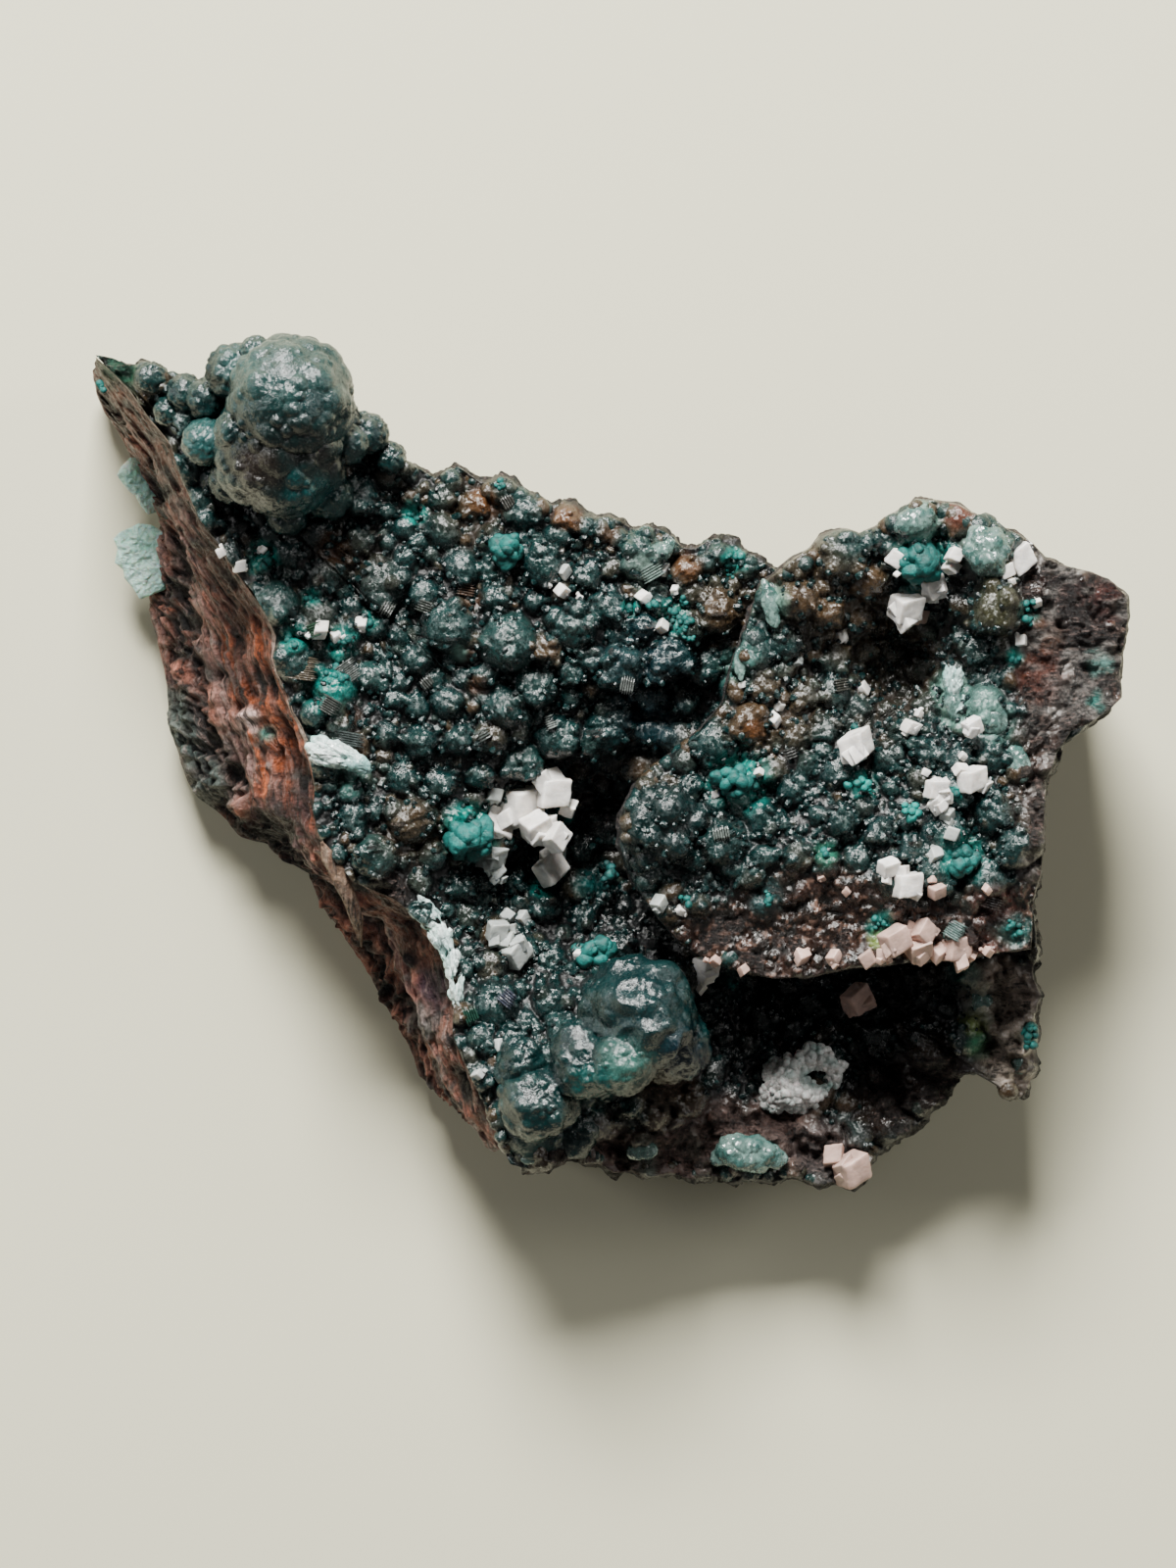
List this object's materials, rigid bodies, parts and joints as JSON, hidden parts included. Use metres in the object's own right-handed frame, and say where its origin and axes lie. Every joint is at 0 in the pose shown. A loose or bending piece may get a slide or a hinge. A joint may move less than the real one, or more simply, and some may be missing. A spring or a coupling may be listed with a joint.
{
  "type": "mineral specimen",
  "caption": "Hand-sized rock with a dark botryoidal willemite crust, small white dolomite rhombs and turquoise rosasite on brown matrix, lying on its flat broken back.",
  "frame": {"origin": "centre of the bounding box at the lowest point, on the flat back that the specimen lies on", "axes": "+X along the longest side of the crystal face, to the right as it is looked at from above with the big botryoid at the upper left; +Y up across the crystal face; +Z from the flat back to the crystal side"},
  "size_m": [0.0722, 0.0589, 0.029],
  "materials": {
    "willemite": "vitreous, botryoidal, dark grey-green with aqua edges",
    "matrix_rock": "rough red-brown gossan with grey-pink fibrous streaks",
    "dolomite": "pearly, white to cream",
    "pink_dolomite": "pearly, pinkish",
    "rosasite": "silky, turquoise, fibrous",
    "pale_rosasite": "silky, pale aqua",
    "pale_willemite": "pale aqua-white, translucent looking",
    "aqua_willemite": "pale green-aqua, translucent looking",
    "white_crust": "chalky white with an aqua tint",
    "tan_splinter": "dull, tan"
  },
  "bodies": {
    "root": {"dolomite_band": "dolomite", "dolomite_cave": "pink_dolomite", "dolomite_cluster": "dolomite", "dolomite_east": "dolomite", "dolomite_east_lip": "pink_dolomite", "dolomite_hollow": "dolomite", "dolomite_lip": "pink_dolomite", "dolomite_lobe": "dolomite", "dolomite_low_shelf": "dolomite", "dolomite_lower_edge": "pink_dolomite", "dolomite_north_slab": "dolomite", "dolomite_shelf": "dolomite", "dolomite_south": "dolomite", "dolomite_teal_patch": "dolomite", "dolomite_twins": "dolomite", "dolomite_west": "dolomite", "flake_north": "pale_willemite", "flake_south": "pale_willemite", "matrix": "matrix_rock", "pale_willemite_band": "aqua_willemite", "pale_willemite_lobe": "aqua_willemite", "pale_willemite_south": "pale_willemite", "pale_willemite_west": "pale_willemite", "rosasite_big": "rosasite", "rosasite_east": "rosasite", "rosasite_edge": "rosasite", "rosasite_hollow": "rosasite", "rosasite_middle": "rosasite", "rosasite_north": "rosasite", "rosasite_pale": "pale_rosasite", "rosasite_shelf": "rosasite", "rosasite_south": "rosasite", "rosasite_west": "rosasite", "splinter": "tan_splinter", "white_rosette": "white_crust", "willemite_crust": "willemite"}
  },
  "joints": []
}
